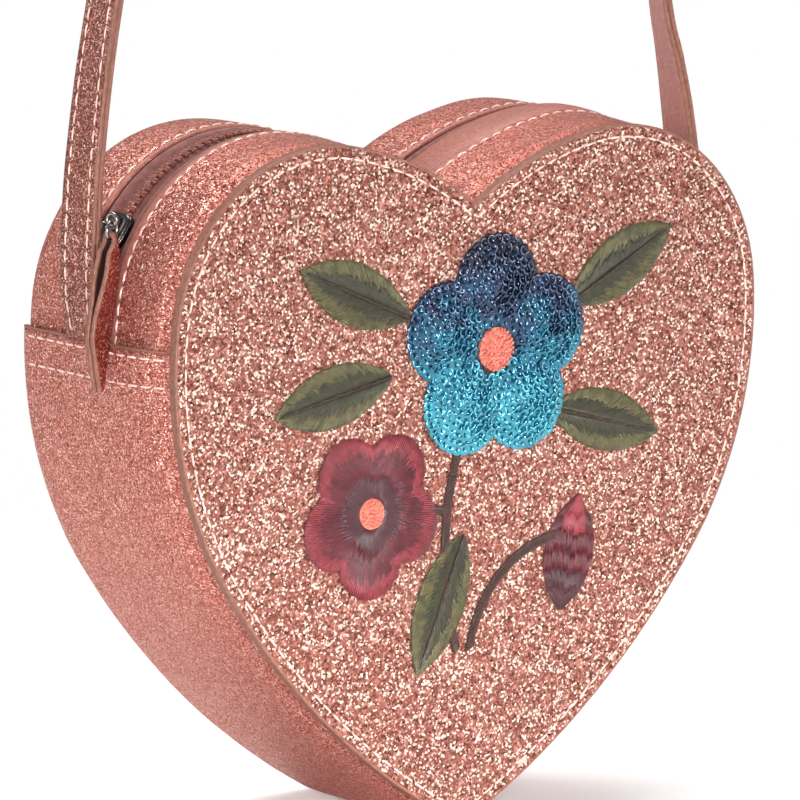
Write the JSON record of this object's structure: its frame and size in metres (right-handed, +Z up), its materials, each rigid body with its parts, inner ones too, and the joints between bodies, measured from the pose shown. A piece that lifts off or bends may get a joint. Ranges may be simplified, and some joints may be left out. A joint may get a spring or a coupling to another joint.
{
  "type": "shoulder bag",
  "caption": "Heart-shaped shoulder bag in rose glitter leather, zip over both lobes with a folded leather pull, flat strap, stitched and sequinned flower spray on the front",
  "frame": {"origin": "the outer face of the strap at its highest point, above the middle of the zip line", "axes": "X along the heart's width, Y along its depth with the decorated front at -Y, Z up"},
  "size_m": [0.195, 0.0628, 0.6263],
  "materials": {
    "coarse_glitter": "coarse rose glitter",
    "fine_glitter": "fine rose glitter",
    "strap_glitter": "fine rose glitter",
    "strap_backing": "smooth mauve pink",
    "edge_paint": "tan painted edge",
    "pull_leather": "rose metallic leather with tan edges",
    "board": "plain board",
    "lining": "plain woven",
    "zip_tape": "herringbone tape",
    "zip_coil": "satin nylon",
    "bright_metal": "polished",
    "stem_thread": "satin stitch",
    "leaf_thread": "satin stitch",
    "blossom_thread": "satin stitch",
    "knot_thread": "French knots",
    "sequins": "turquoise to navy sequins"
  },
  "bodies": {
    "shell": {"front_panel": "coarse_glitter", "front_edge_paint": "edge_paint", "front_stiffener": "board", "front_lining": "lining", "back_panel": "fine_glitter", "back_stiffener": "board", "back_lining": "lining", "lower_gusset": "fine_glitter", "side_seam_edges": "edge_paint", "side_seam_backing": "fine_glitter", "lower_gusset_lining": "lining", "zip_gusset_front": "fine_glitter", "zip_gusset_rear": "fine_glitter", "zip_facing_front": "lining", "zip_facing_rear": "lining", "zip_tape_front": "zip_tape", "zip_tape_rear": "zip_tape", "zip_teeth_front": "zip_coil", "zip_teeth_rear": "zip_coil", "zip_end_stops": "bright_metal", "zip_end_tabs": "fine_glitter", "strap_face": "strap_glitter", "strap_backing": "strap_backing", "stitched_stems": "stem_thread", "stitched_leaves": "leaf_thread", "sequin_blossom": "sequins", "satin_blossom": "blossom_thread", "satin_bud": "blossom_thread", "blossom_knots": "knot_thread"},
    "slider": {"slider_body": "bright_metal", "slider_bridge": "bright_metal"},
    "pull_eye": {"pull_eye": "bright_metal"},
    "jump_ring": {"jump_ring": "bright_metal"},
    "pull_tab": {"pull_tab": "pull_leather"}
  },
  "joints": [
    {"name": "slider_travel", "type": "hinge", "parent": "shell", "child": "slider", "pos_m": [-0.04515, 0.00175, -0.50134], "axis": [0, 1, 0], "range_deg": [0, 64]},
    {"name": "pull_eye_swing", "type": "hinge", "parent": "slider", "child": "pull_eye", "pos_m": [-0.08672, 0.00175, -0.47685], "axis": [-0.5075, 0, -0.8616], "range_deg": [0, 8]},
    {"name": "ring_swing", "type": "hinge", "parent": "pull_eye", "child": "jump_ring", "pos_m": [-0.09103, -0.00656, -0.47562], "axis": [-0.3584, 0.9336, 0], "range_deg": [0, 50]},
    {"name": "pull_tab_swing", "type": "hinge", "parent": "jump_ring", "child": "pull_tab", "pos_m": [-0.09103, -0.00656, -0.47692], "axis": [-0.3584, 0.9336, 0], "range_deg": [0, 55]}
  ]
}
